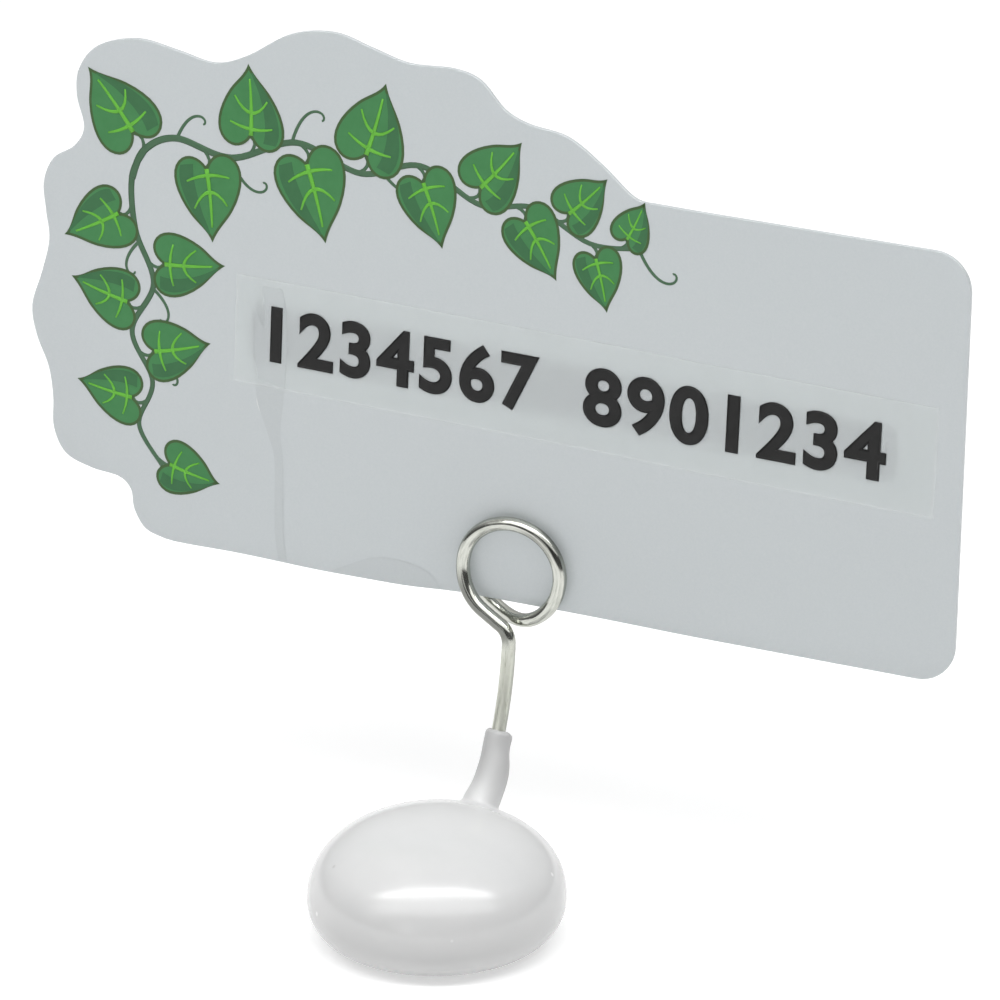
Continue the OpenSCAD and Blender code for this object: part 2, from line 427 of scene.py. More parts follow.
def vinyl_skin():
    """The dome with its neck, one wall thick, open only where the wire comes out."""
    outer = dome_ball("mouth", 0, NECK_ROOT_D / 2 + NECK_BLEND_R)
    inner = dome_ball("cavity", COAT_T, WIRE_D)
    neck = skin_tube("neck", NECK_RINGS, bow=1.0)
    for vertex in neck.data.vertices:
        ring, side = divmod(vertex.index, NECK_SIDES)
        height = NECK_RINGS[ring][0]
        around = 2 * math.pi * side / NECK_SIDES
        sag = sum(size * math.sin(waves * around + turn) for size, waves, turn in NECK_SAGS)
        vertex.co += LEG_DIR * sag * ease((height - SAG_START) / SAG_RUN)
    bore_r = WIRE_D / 2 + FIT
    bore_len = NECK_LEN + COAT_T - FIT
    bore_rings = [(-COAT_T + bore_len * i / BORE_STEPS, bore_r) for i in range(BORE_STEPS + 1)]
    bore = skin_tube("bore", bore_rings)
    skin = join("vinyl_skin", [outer, inner, neck, bore])
    bridge(skin, "mouth", "neck_foot", number_cuts=BLEND_CUTS, interpolation="SURFACE", smoothness=1.0)
    bridge(skin, "neck_top", "bore_top")
    bridge(skin, "bore_foot", "cavity")
    skin.vertex_groups.clear()
    open_all(skin)
    bpy.ops.mesh.normals_make_consistent(inside=False)
    close_mesh()
    apply_modifier(skin, "SUBSURF", levels=1, render_levels=1)
    place_mesh(skin, Matrix.Scale(MM, 4))
    store(skin, "up_neck", [(v.co / MM - ROOT).dot(LEG_DIR) / NECK_LEN for v in skin.data.vertices])
    smooth(skin, ROUND_ANGLE)
    return skin


# Wire clip

WIRE_SIDES = 24
TAIL_ROUND = 0.35
TAIL_STEPS = 3

# Painted dark reflection under the tight bend, by direction and by length from its corner
UNDER_BEND = Vector((-0.52, -0.55, -0.65)).normalized()
BEND_BEFORE = 3.0
BEND_AFTER = 15.0
BEND_FADE = 5.0
UNDER_SOFT = 0.3
UNDER_END = 1.02
UNDER_END_SOFT = 0.2

# Painted shade over the highlight high on the right of the coil's front turn
COIL_SHADE_FROM = math.radians(14)
COIL_SHADE_FADE = math.radians(18)
COIL_SHADE_INSIDE_TO = math.radians(84)
COIL_SHADE_OUTSIDE_TO = math.radians(66)
COIL_SHADE_INSIDE = 0.6
COIL_SHADE_OUTSIDE = 0.75
COIL_SHADE_SOFT = 0.4


def coil_shade_share(spot, way):
    """Share of painted shade on the coil's front turn, high on its right, weaker on its inner side."""
    out = spot - COIL_CENTRE
    if out.dot(TAG_FRONT) < 0:
        return 0.0
    angle = math.atan2(out.dot(TAG_UP), out.x)
    outward = way.dot((out - out.dot(TAG_FRONT) * TAG_FRONT).normalized())
    inside = ease((COIL_SHADE_INSIDE_TO - angle) / COIL_SHADE_FADE) * ease((COIL_SHADE_SOFT / 2 - outward) / COIL_SHADE_SOFT)
    outside = ease((COIL_SHADE_OUTSIDE_TO - angle) / COIL_SHADE_FADE) * ease(outward / COIL_SHADE_SOFT)
    return ease((angle - COIL_SHADE_FROM) / COIL_SHADE_FADE) * max(COIL_SHADE_INSIDE * inside, COIL_SHADE_OUTSIDE * outside)


def bend_shade_share(past, under):
    """Share of painted dark reflection at a length past the bend's corner and a share of facing down there.
    """
    near = ease((past + BEND_BEFORE) / BEND_BEFORE) * ease((BEND_AFTER - past) / BEND_FADE)
    return near * ease(under / UNDER_SOFT) * ease((UNDER_END - under) / UNDER_END_SOFT)


def wire_spring():
    """The bent wire with its free end rounded, and its grain, facing and painted shade stored on it."""
    route = wire_route()
    wire = draw_strokes("wire_spring", [(route, [WIRE_D / 2] * len(route))], WIRE_SIDES, caps=False)
    run = lengths(route)
    grain = wire.data.attributes.new("grain", "FLOAT_VECTOR", "POINT")
    for vertex in wire.data.vertices:
        ring, side = divmod(vertex.index, WIRE_SIDES)
        angle = 2 * math.pi * side / WIRE_SIDES
        grain.data[vertex.index].vector = (math.cos(angle), math.sin(angle), run[ring])
    ways = [(v.co - route[v.index // WIRE_SIDES]).normalized() for v in wire.data.vertices]
    # Facing is kept for the painted shade on the wire's sides
    store(wire, "facing", [abs(way.dot(TAG_FRONT)) for way in ways])
    knee = min(range(len(route)), key=lambda i: (route[i] - CROOK_CORNER).length)
    # One stored share: painted dark reflection under the bend, painted shade high on the coil's front turn
    painted_shade = []
    for i, way in enumerate(ways):
        ring = i // WIRE_SIDES
        bend_shade = bend_shade_share(run[ring] - run[knee], way.dot(UNDER_BEND))
        painted_shade.append(max(bend_shade, coil_shade_share(route[ring], way)))
    store(wire, "bent", painted_shade)
    open_all(wire)
    bpy.ops.mesh.fill_holes(sides=WIRE_SIDES)
    bpy.ops.mesh.normals_make_consistent(inside=False)
    close_mesh()
    first_of_tail = len(ways) - WIRE_SIDES
    open_picked(wire, [i >= first_of_tail for i in range(len(ways))])
    bpy.ops.mesh.bevel(offset=TAIL_ROUND, segments=TAIL_STEPS, affect="EDGES")
    close_mesh()
    place_mesh(wire, Matrix.Scale(MM, 4))
    smooth(wire, ROUND_ANGLE)
    # Without the wire's lamp shadow the card inside the coil keeps its tone
    wire.visible_shadow = False
    return wire


# Tag: a slight flex, and everything that lies on its face

TAG_PLACE = Matrix.Translation(COIL_CENTRE) @ Matrix.Rotation(math.pi / 2 - TAG_LEAN, 4, "X")
FACE = TAG_T / 2
INK_T = 0.02
CURL_START = -8.0
CURL_SLOPE = 0.020
FLEX_START = -38.0
FLEX_RUN = 10.0
FLEX_SLOPE = 0.022
FLEX_DRAW = 0.46
FLEX_RISE = 0.39
FLEX_RISE_RUN = 20.0
FLEX_END = -62.0
FLEX_END_RUN = 8.0
SHEET_BOW = 1.6
SHEET_BOW_START = -8.5
SHEET_BOW_RUN = 13.0
SHEET_BOW_END = -56.0
SHEET_BOW_FADE = 23.0
SHEET_BOW_TALL = 30.0
RIGHT_SET = 0.6
RIGHT_START = 10.5
RIGHT_RUN = 25.0
CUT_X = ([-76 + 4 * i for i in range(5)] + [-58 + 2 * i for i in range(25)]
         + [10.5 + 2.5 * i for i in range(11)])
CUT_Y = [-4 + 2 * i for i in range(15)]
TAG_BOTTOM = TAG_LIFT - COIL_IN_D / 2
EDGE_ROUND = 0.14
EDGE_STEPS = 3
EDGE_ANGLE = math.radians(60)
FLAT_ANGLE = math.radians(0.1)
SHEET_SMOOTH = 35


def flex(x):
    """How far the tag's left end is bent to the front."""
    front = 0.0
    for start, slope in ((CURL_START, CURL_SLOPE), (FLEX_START, FLEX_SLOPE)):
        past = start - x
        if past > FLEX_RUN:
            front += slope * (past - FLEX_RUN / 2)
        elif past > 0:
            front += slope * past * past / (2 * FLEX_RUN)
    return front


def sheet_bow(x, y):
    """How far the coil's grip pushes the sheet to the front: low on its left, and all the right half."""
    beside = ease((SHEET_BOW_START - x) / SHEET_BOW_RUN) * ease((x - SHEET_BOW_END) / SHEET_BOW_FADE)
    low = 1 - ease((y - TAG_BOTTOM) / SHEET_BOW_TALL)
    return SHEET_BOW * beside * low + RIGHT_SET * ease((x - RIGHT_START) / RIGHT_RUN)


def seat_on_tag(piece):
    """Cuts flat work where the tag flexes, flexes it and brings it to the tag's place."""
    cuts = [((x, 0, 0), (1, 0, 0)) for x in CUT_X] + [((0, y, 0), (0, 1, 0)) for y in CUT_Y]
    open_mesh(piece)
    for spot, way in cuts:
        bpy.ops.mesh.select_all(action="SELECT")
        bpy.ops.mesh.bisect(plane_co=spot, plane_no=way)
    close_mesh()
    for vertex in piece.data.vertices:
        x, y, z = vertex.co
        front = flex(x)
        rise = max(ease((y - TAG_BOTTOM) / FLEX_RISE_RUN), ease((FLEX_END - x) / FLEX_END_RUN))
        vertex.co += Vector((FLEX_DRAW * front, FLEX_RISE * front * rise, front + sheet_bow(x, y)))
    place_mesh(piece, Matrix.Scale(MM, 4) @ TAG_PLACE)


def tag_sheet():
    """The die-cut sheet, its cut edge slightly rounded."""
    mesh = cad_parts["tag_card"].data.copy()
    mesh.materials.clear()
    sheet = bpy.data.objects.new("tag_sheet", mesh)
    bpy.context.collection.objects.link(sheet)
    place_mesh(sheet, TAG_PLACE.inverted() @ Matrix.Scale(1 / MM, 4))
    open_all(sheet)
    bpy.ops.mesh.remove_doubles(threshold=MERGE)
    bpy.ops.mesh.dissolve_limited(angle_limit=FLAT_ANGLE)
    close_mesh()
    apply_modifier(sheet, "BEVEL", width=EDGE_ROUND, segments=EDGE_STEPS, limit_method="ANGLE",
                   angle_limit=EDGE_ANGLE)
    seat_on_tag(sheet)
    smooth(sheet, SHEET_SMOOTH)
    return sheet


# Tape

TAPE_PLACE = (Matrix.Translation((TAG_REACH - TAPE_INSET - TAPE_W / 2, TAG_BOTTOM + TAPE_UP, FACE))
              @ Matrix.Rotation(TAPE_TURN, 4, "Z"))
END_LIFT = 0.10
END_LIFT_RUN = 9.0
RIPPLE_ALONG = 1.3
RIPPLE_ACROSS = 0.35
EDGE_LIFT = 0.05
EDGE_LIFT_RUN = 1.2
EDGE_WAVE = 0.31
EDGE_WANDER = 2.1
EDGE_WANDER_WAVE = 0.07
PRINT_LEFT = -62.0
PRINT_RIGHT = 58.0
PRINT_END_RUN = 2.2
PRINT_HALF_H = 6.5
PRINT_SIDE_RUN = 4.5
FILM_CELLS_ALONG = 220
FILM_CELLS_ACROSS = 36
FILM_GAP = 0.02


def tape_lift(x, y):
    """How far the film has come off the card at its left end and along its edges."""
    from_end = x + TAPE_W / 2
    from_side = TAPE_H / 2 - abs(y)
    end = max(0.0, 1 - from_end / END_LIFT_RUN) ** 2
    ripple = (1 + math.sin(RIPPLE_ALONG * from_end + RIPPLE_ACROSS * y)) / 2
    wave = (1 + math.sin(EDGE_WAVE * x + EDGE_WANDER * math.sin(EDGE_WANDER_WAVE * x))) / 2
    edge = max(0.0, 1 - from_side / EDGE_LIFT_RUN) * wave
    return END_LIFT * end * ripple + EDGE_LIFT * edge


def printed_band(x, y):
    """Share of the grey cast along the middle of the tape, where the numbers stand."""
    ends = ease((x - PRINT_LEFT) / PRINT_END_RUN) * ease((PRINT_RIGHT - x) / PRINT_END_RUN)
    return ends * ease((PRINT_HALF_H - abs(y)) / PRINT_SIDE_RUN)


def tape_film():
    """Clear label tape, slightly lifted along its edges, with its rim and grey band stored on it."""
    bpy.ops.mesh.primitive_grid_add(x_subdivisions=FILM_CELLS_ALONG, y_subdivisions=FILM_CELLS_ACROSS,
                                    size=1)
    film = bpy.context.object
    film.name = "tape_film"
    film.data.name = "tape_film"
    place_mesh(film, Matrix.Diagonal((TAPE_W, TAPE_H, 1, 1)))
    spots = [vertex.co.copy() for vertex in film.data.vertices]
    inward = [min(TAPE_W / 2 - abs(x), TAPE_H / 2 - abs(y)) for x, y, z in spots]
    store(film, "rim", [distance / (TAPE_H / 2) for distance in inward])
    store(film, "printed", [printed_band(x, y) for x, y, z in spots])
    for vertex in film.data.vertices:
        vertex.co.z += TAPE_T + tape_lift(vertex.co.x, vertex.co.y)
    apply_modifier(film, "SOLIDIFY", thickness=TAPE_T - FILM_GAP, offset=-1)
    place_mesh(film, TAPE_PLACE)
    seat_on_tag(film)
    smooth(film)
    # The clear film leaves the card under it unshaded
    film.visible_shadow = False
    return film


# Marks in the sheet: painted shade in a band where the sheet was creased, from the tape's left end down to
# the edge, small wrinkles in it whose paler ink is a painted highlight, and painted shade where the sheet
# dents beside the coil.
# The crease has its width at each knot.

CREASE = ((-46.0, 42.0, 3.6), (-46.2, 38.0, 5.6), (-46.3, 30.0, 6.2), (-46.2, 22.0, 5.0),
          (-45.4, 16.5, 2.6), (-44.3, 12.0, 1.7), (-43.95, 4.5, 1.7), (-43.7, -1.0, 1.7),
          (-42.9, -5.6, 1.7))
DENT = ((-33.5, -5.7), (-30.0, -3.9), (-26.3, -2.2), (-22.9, -1.6), (-18.8, -1.9), (-15.9, -2.9),
        (-14.2, -4.4), (-13.4, -5.7))
MARK_STEPS = 6
MARK_LEVEL = FACE + 0.03
MARK_T = INK_T / 4
WRINKLES = (((-48.3, 23.2), (-48.4, 21.2), (-47.3, 18.6)),
            ((-45.6, 22.8), (-45.4, 20.8), (-44.6, 19.2)),
            ((-46.6, 41.5), (-45.6, 41.7), (-44.6, 41.6)),
            ((-45.3, 27.6), (-45.1, 25.8), (-44.9, 24.6)))
WRINKLE_STEPS = 8
WRINKLE_SIDES = 12
WRINKLE_W = 0.7
WRINKLE_T = 0.06
WRINKLE_TIP = 0.15


def painted_crease_and_dent():
    """Painted shade: a faint darker band where the sheet was creased, and a darker patch where it dents
    beside the coil.
    """
    left = curve_through([(x - wide / 2, y) for x, y, wide in CREASE], MARK_STEPS)
    right = curve_through([(x + wide / 2, y) for x, y, wide in CREASE], MARK_STEPS)
    crease = flat_sheet("crease", left + right[::-1], MARK_LEVEL, MARK_T)
    dent = flat_sheet("dent", curve_through(DENT, MARK_STEPS), MARK_LEVEL, MARK_T)
    crease = join("painted_crease_and_dent", [crease, dent])
    seat_on_tag(crease)
    return crease


def sheet_wrinkles():
    """Short raised folds."""
    strokes = []
    for knots in WRINKLES:
        route = curve_through(knots, WRINKLE_STEPS)
        last = len(route) - 1
        swell = [math.sin(math.pi * i / last) for i in range(last + 1)]
        strokes.append((route, [WRINKLE_W / 2 * (WRINKLE_TIP + (1 - WRINKLE_TIP) * s) for s in swell]))
    wrinkles = draw_strokes("sheet_wrinkles", strokes, WRINKLE_SIDES)
    flatten(wrinkles, FACE - WRINKLE_T / 2, WRINKLE_T)
    seat_on_tag(wrinkles)
    smooth(wrinkles, ROUND_ANGLE)
    return wrinkles


# Printed label: plain counting numbers in two groups

DIGIT_H = 10.4
DIGIT_GROUPS = (("1234567", -57.4, -7.6), ("8901234", 0.6, 55.2))
DIGIT_RIM = 0.33
DIGIT_SIZE = 10
DIGIT_SPACE = 1.12


def label_numbers():
    """Bold numbers on the label, each group fitted to its width."""
    groups = []
    for body, left, right in DIGIT_GROUPS:
        bpy.ops.object.text_add()
        text = bpy.context.object
        text.data.body = body
        text.data.size = DIGIT_SIZE
        text.data.bevel_depth = DIGIT_RIM
        text.data.bevel_resolution = 0
        text.data.space_character = DIGIT_SPACE
        bpy.ops.object.convert(target="MESH")
        group = bpy.context.object
        xs = [v.co.x for v in group.data.vertices]
        ys = [v.co.y for v in group.data.vertices]
        wide = (right - left) / (max(xs) - min(xs))
        tall = DIGIT_H / (max(ys) - min(ys))
        corner = Matrix.Translation((left - wide * min(xs), -DIGIT_H / 2 - tall * min(ys), 0))
        place_mesh(group, corner @ Matrix.Diagonal((wide, tall, 1, 1)))
        groups.append(group)
    numbers = join("label_numbers", groups)
    open_all(numbers)
    bpy.ops.mesh.remove_doubles(threshold=MERGE)
    close_mesh()
    flatten(numbers, TAPE_T, INK_T)
    place_mesh(numbers, TAPE_PLACE)
    seat_on_tag(numbers)
    return numbers


# Printed vine: two sprigs that leave the corner, with heart-shaped leaves on alternate sides. A leaf has its
# share of the stem, its length and its swing in degrees; a tendril its share, size, turns and side.

TOP_SPRIG = ((-72.8, 57), (-70.5, 62.3), (-64.5, 65.3), (-54, 63.5), (-42, 68), (-30, 64.5),
             (-19, 67.5), (-8, 62.5), (2, 63.5), (12, 59), (21, 59.5))
TOP_LEAVES = ((0.055, 15, 75), (0.174, 14.5, 62), (0.262, 14, 62), (0.359, 15.5, 66), (0.472, 15, 74),
              (0.580, 13, 64), (0.683, 13, 70), (0.770, 12.5, 64), (0.848, 11, 68), (0.915, 10.5, 60),
              (0.968, 8.5, 52))
TOP_TENDRILS = ((0.125, 3.6, 1.0, 1), (0.225, 4.6, 1.1, -1), (0.345, 4.4, 1.0, 1), (0.515, 4.4, 1.1, -1),
                (1.0, 4.6, 1.1, -1))
TOP_THICK = 1.3
LEFT_SPRIG = ((-70.5, 62.3), (-72.8, 57), (-72, 48), (-68.5, 39), (-72.5, 30), (-68.5, 21.5),
              (-71, 13.5), (-66.5, 7))
LEFT_LEAVES = ((0.177, 13, 62), (0.342, 13, 66), (0.488, 12.5, 66), (0.634, 12.5, 68), (0.790, 12, 66),
               (0.973, 11, 30))
LEFT_TENDRILS = ((0.28, 3.4, 1.0, -1), (0.42, 3.4, 1.0, 1), (0.68, 3.4, 1.0, 1))
LEFT_THICK = 1.2
STEM_TIP = 0.8
SPRIG_STEPS = 12
INK_SIDES = 6


def curve_through(knots, steps):
    """Smooth curve through knots."""
    knots = [Vector((x, y, 0)) for x, y in knots]
    points = []
    last = len(knots) - 1
    for i in range(last):
        p, q, r, s = (knots[min(max(i + k, 0), last)] for k in (-1, 0, 1, 2))
        for step in range(steps):
            t = step / steps
            points.append(0.5 * (2 * q + (r - p) * t + (2 * p - 5 * q + 4 * r - s) * t * t
                                 + (3 * q - p - 3 * r + s) * t ** 3))
    return points + [knots[last]]


def point_along(route, share):
    """Point and direction at a share of a route's length."""
    run = lengths(route)
    target = share * run[-1]
    i = next(k for k in range(1, len(route)) if run[k] >= target - 1e-6)
    step = route[i] - route[i - 1]
    return route[i - 1] + step * ((target - run[i - 1]) / step.length), step.normalized()


def bezier(a, b, c, d, t):
    """Value on a curve with two ends, a and d, and two handles."""
    return a * (1 - t) ** 3 + 3 * b * t * (1 - t) ** 2 + 3 * c * t * t * (1 - t) + d * t ** 3


# Half a leaf in three curves, with its shade, veins and stalk, in shares of the leaf's length
LEAF_HALF = (((0, 0.10), (0.07, -0.03), (0.22, -0.10), (0.35, 0.00)),
             ((0.35, 0.00), (0.50, 0.12), (0.46, 0.38), (0.28, 0.64)),
             ((0.28, 0.64), (0.19, 0.77), (0.07, 0.84), (0, 1.0)))
NOTCH = 0.10
PROBE_STEPS = 16
PROBE_BAND = 0.06
SHADE_OUTER = 0.84
SHADE_INNER = 0.42
SHADE_SPAN = slice(9, -2)
RIB_START = 0.12
RIB_LENGTH = 0.70
RIB_STEPS = 10
RIB_W = (0.062, 0.026)
SIDE_VEINS = ((0.20, 0.05), (0.40, 0.18))
VEIN_REACH = 0.64
VEIN_W = (0.050, 0.022)
QUARTERS = (0, 0.25, 0.5, 0.75, 1)
STALK_LENGTH = 0.22
STALK_BOW = 0.25
LEAF_BOW = 0.10

# Widths of stalks and tendrils in millimetres, and how a tendril winds up
STALK_W = (0.7, 0.5)
TENDRIL_W = (0.62, 0.36)
TENDRIL_STEPS = 40
TENDRIL_LENGTH = 4
TENDRIL_SHRINK = 0.82
TENDRIL_FIRST_TURN = 0.15
TENDRIL_LAST_TURN = 1.7
TENDRIL_SWING = math.radians(70)


def leaf_side(side, width, steps=8):
    """One half of a heart-shaped leaf of length 1, from notch to tip, at a share of its width."""
    points = []
    for a, b, c, d in LEAF_HALF:
        for i in range(steps):
            x, y = (bezier(a[k], b[k], c[k], d[k], i / steps) for k in (0, 1))
            points.append(Vector((side * width * x, y, 0)))
    return points + [Vector((0, 1, 0))]


def leaf_half_width(y):
    """Half width of the leaf at a height along it."""
    return max(abs(p.x) for p in leaf_side(1, 1, PROBE_STEPS) if abs(p.y - y) < PROBE_BAND)


def spiral(start, way, side, size, turns):
    """Curling tendril that leaves in a direction and winds up on one side."""
    route = []
    heading = math.atan2(way.y, way.x)
    spot = start.copy()
    for i in range(TENDRIL_STEPS + 1):
        route.append(spot.copy())
        share = i / TENDRIL_STEPS
        step = size * (1 - TENDRIL_SHRINK * share) * TENDRIL_LENGTH / TENDRIL_STEPS
        tightness = TENDRIL_FIRST_TURN + TENDRIL_LAST_TURN * share ** 2
        heading += side * 2 * math.pi * turns * tightness / TENDRIL_STEPS
        spot += Vector((math.cos(heading), math.sin(heading), 0)) * step
    return route


def taper(route, thick, thin):
    """Radii along a route, from one thickness to another."""
    last = len(route) - 1
    return [(thick + (thin - thick) * i / last) / 2 for i in range(last + 1)]


class Vine:
    """Collects the strokes and the leaves of the print."""

    def __init__(self):
        self.stems = []
        self.veins = []
        self.leaves = []

    def leaf(self, foot, way, size, bow):
        """A leaf with its notch at foot, pointing along way, bowed to one side."""
        turn = math.atan2(way.y, way.x) - math.pi / 2
        place = Matrix.Translation(foot) @ Matrix.Rotation(turn, 4, "Z") @ Matrix.Scale(size, 4)

        def spot(p):
            return place @ Vector((p.x + bow * p.y * p.y, p.y - NOTCH, 0))

        outline = leaf_side(1, 1)[:-1] + list(reversed(leaf_side(-1, 1)))[:-1]
        shade = leaf_side(1, SHADE_OUTER)[SHADE_SPAN] + leaf_side(1, SHADE_INNER)[SHADE_SPAN][::-1]
        self.leaves.append(([spot(p) for p in outline], [spot(p) for p in shade]))
        rib = [spot(Vector((0, RIB_START + RIB_LENGTH * i / RIB_STEPS, 0))) for i in range(RIB_STEPS + 1)]
        self.veins.append((rib, taper(rib, *(share * size for share in RIB_W))))
        for start, rise in SIDE_VEINS:
            for side in (-1, 1):
                reach = VEIN_REACH * leaf_half_width(start + rise)
                vein = [spot(Vector((side * reach * t, start + rise * t * t, 0))) for t in QUARTERS]
                self.veins.append((vein, taper(vein, *(share * size for share in VEIN_W))))

    def sprig(self, knots, leaves, first_side, thick, thin, tendrils):
        """A stem with leaves on alternate sides and curling tendrils between them."""
        stem = curve_through(knots, SPRIG_STEPS)
        self.stems.append((stem, taper(stem, thick, thin)))
        side = first_side
        for share, size, swing in leaves:
            spot, way = point_along(stem, share)
            out = Matrix.Rotation(side * math.radians(swing), 3, "Z") @ way
            stalk_end = spot + out * (STALK_LENGTH * size)
            bow = way * (STALK_BOW * size)
            stalk = [spot + (stalk_end - spot) * t + bow * (t * (1 - t)) for t in QUARTERS]
            self.stems.append((stalk, taper(stalk, *STALK_W)))
            self.leaf(stalk_end, out, size, -LEAF_BOW * side)
            side = -side
        for share, size, turns, hand in tendrils:
            spot, way = point_along(stem, share)
            out = Matrix.Rotation(hand * TENDRIL_SWING, 3, "Z") @ way
            tendril = spiral(spot, out, -hand, size, turns)
            self.stems.append((tendril, taper(tendril, *TENDRIL_W)))


def flat_sheet(name, outline, height, thick):
    """Thin sheet cut to an outline, from a round blank."""
    bpy.ops.mesh.primitive_circle_add(vertices=len(outline), radius=1, fill_type="NGON")
    sheet = bpy.context.object
    sheet.name = name
    for vertex, spot in zip(sheet.data.vertices, outline):
        vertex.co = spot
        vertex.co.z = height
    open_all(sheet)
    bpy.ops.mesh.normals_make_consistent(inside=False)
    close_mesh()
    apply_modifier(sheet, "SOLIDIFY", thickness=thick, offset=1)
    return sheet


def flatten(piece, height, thick):
    """Presses round strokes flat at a height."""
    tall = max(v.co.z for v in piece.data.vertices)
    lift = Matrix.Translation((0, 0, height + thick / 2))
    place_mesh(piece, lift @ Matrix.Diagonal((1, 1, thick / 2 / tall, 1)))


LEAF_EDGE = 0.48
STEM_LEVEL = FACE + 0.01
LEAF_LEVEL = FACE + 0.03
SHADE_LEVEL = FACE + 0.055
VEIN_LEVEL = FACE + 0.07


def printed_vine(edge_ink, leaf_ink):
    """The vine's stems, leaves and veins as thin layers of ink."""
    vine = Vine()
    vine.sprig(TOP_SPRIG, TOP_LEAVES, 1, TOP_THICK, STEM_TIP, TOP_TENDRILS)
    vine.sprig(LEFT_SPRIG, LEFT_LEAVES, -1, LEFT_THICK, STEM_TIP, LEFT_TENDRILS)
    stems = draw_strokes("vine_stems", vine.stems, INK_SIDES)
    flatten(stems, STEM_LEVEL, INK_T)
    leaves = []
    for outline, shade in vine.leaves:
        leaf = flat_sheet("leaf", outline, LEAF_LEVEL, INK_T)
        leaf.data.materials.append(edge_ink)
        leaf.data.materials.append(leaf_ink)
        open_mesh(leaf, "FACE")
        close_mesh()
        top = max(leaf.data.polygons, key=lambda face: face.area * (face.normal.z > 0.5))
        top.select = True
        bpy.ops.object.mode_set(mode="EDIT")
        bpy.ops.mesh.inset(thickness=LEAF_EDGE)
        leaf.active_material_index = 1
        bpy.ops.object.material_slot_assign()
        close_mesh()
        leaves.append(leaf)
    leaf_print = join("vine_leaves", leaves)
    shades = [flat_sheet("shade", shade, SHADE_LEVEL, INK_T / 2) for outline, shade in vine.leaves]
    shade_print = join("leaf_shades", shades)
    veins = draw_strokes("leaf_veins", vine.veins, INK_SIDES)
    flatten(veins, VEIN_LEVEL, INK_T)
    for layer in (stems, leaf_print, shade_print, veins):
        seat_on_tag(layer)
    return stems, leaf_print, shade_print, veins


# Finishes

def new_finish(name):
    """A material with its tree, its shader and its own place on the piece."""
    material = bpy.data.materials.new(name)
    material.use_nodes = True
    tree = material.node_tree
    shader = tree.nodes["Principled BSDF"]
    where = tree.nodes.new("ShaderNodeTexCoord").outputs["Object"]
    return material, tree, shader, where


def stored(tree, name, kind="Fac"):
    """Values stored on the piece's points."""
    node = tree.nodes.new("ShaderNodeAttribute")
    node.attribute_name = name
    return node.outputs[kind]


def height_on(tree, where):
    """Height of a place on the piece, in metres."""
    node = tree.nodes.new("ShaderNodeSeparateXYZ")
    tree.links.new(where, node.inputs["Vector"])
    return node.outputs["Z"]


def noise(tree, where, scale, detail=3, rough=0.5):
    """Soft unevenness of a size."""
    node = tree.nodes.new("ShaderNodeTexNoise")
    node.inputs["Scale"].default_value = scale
    node.inputs["Detail"].default_value = detail
    node.inputs["Roughness"].default_value = rough
    tree.links.new(where, node.inputs["Vector"])
    return node.outputs["Fac"]


def spread(tree, value, low, high, new_low, new_high, way="LINEAR"):
    """Maps a value from one range to another."""
    node = tree.nodes.new("ShaderNodeMapRange")
    node.interpolation_type = way
    for name, number in zip(("From Min", "From Max", "To Min", "To Max"), (low, high, new_low, new_high)):
        node.inputs[name].default_value = number
    tree.links.new(value, node.inputs["Value"])
    return node.outputs["Result"]


def tint(tree, value, *stops):
    """Colours a value by stops of place and colour."""
    node = tree.nodes.new("ShaderNodeValToRGB")
    ramp = node.color_ramp
    while len(ramp.elements) < len(stops):
        ramp.elements.new(0.5)
    for element, (place, colour) in zip(ramp.elements, stops):
        element.position = place
        element.color = (*colour, 1)
    tree.links.new(value, node.inputs["Fac"])
    return node.outputs["Color"]


def mix(tree, share, first, second, blend="MIX"):
    """Mixes two colours by a share. Each is a plain colour or another node's."""
    node = tree.nodes.new("ShaderNodeMix")
    node.data_type = "RGBA"
    node.blend_type = blend
    tree.links.new(share, node.inputs["Factor"])
    for name, colour in (("A", first), ("B", second)):
        if isinstance(colour, tuple):
            node.inputs[name].default_value = (*colour, 1)
        else:
            tree.links.new(colour, node.inputs[name])
    return node.outputs["Result"]


def raise_bumps(tree, shader, value, distance, strength):
    """Lets a value stand out as fine relief."""
    node = tree.nodes.new("ShaderNodeBump")
    node.inputs["Strength"].default_value = strength
    node.inputs["Distance"].default_value = distance
    tree.links.new(value, node.inputs["Height"])
    tree.links.new(node.outputs["Normal"], shader.inputs["Normal"])


# Vinyl: its tones, the heights in metres of the painted shade low down, and spans in shares of the neck's
# length for its painted shade and its roughness
CLOUD_SCALE = 90
CLOUD_TONES = ((0.0, (0.635, 0.64, 0.64)), (1.0, (0.705, 0.705, 0.705)))
SPECK_SCALE = 150
SPECK_SPAN = (0.035, 0.075)
SPECK_TONES = ((0.45, (0.54, 0.54, 0.53)), (0.55, (0.92, 0.92, 0.92)))
LOW_DARK_SPAN = (0.0055, 0.0150)
LOW_PAINTED_SHADE = (0.81, 0.81, 0.81)
NECK_DARK_SPAN = (-0.1, 0.70)
NECK_PAINTED_SHADE = (0.70, 0.70, 0.70)
VINYL_ROUGH = (0.10, 0.26)
NECK_ROUGH_SPAN = (-0.5, 0.4)
NECK_ROUGH = 0.40
VINYL_IOR = 1.6


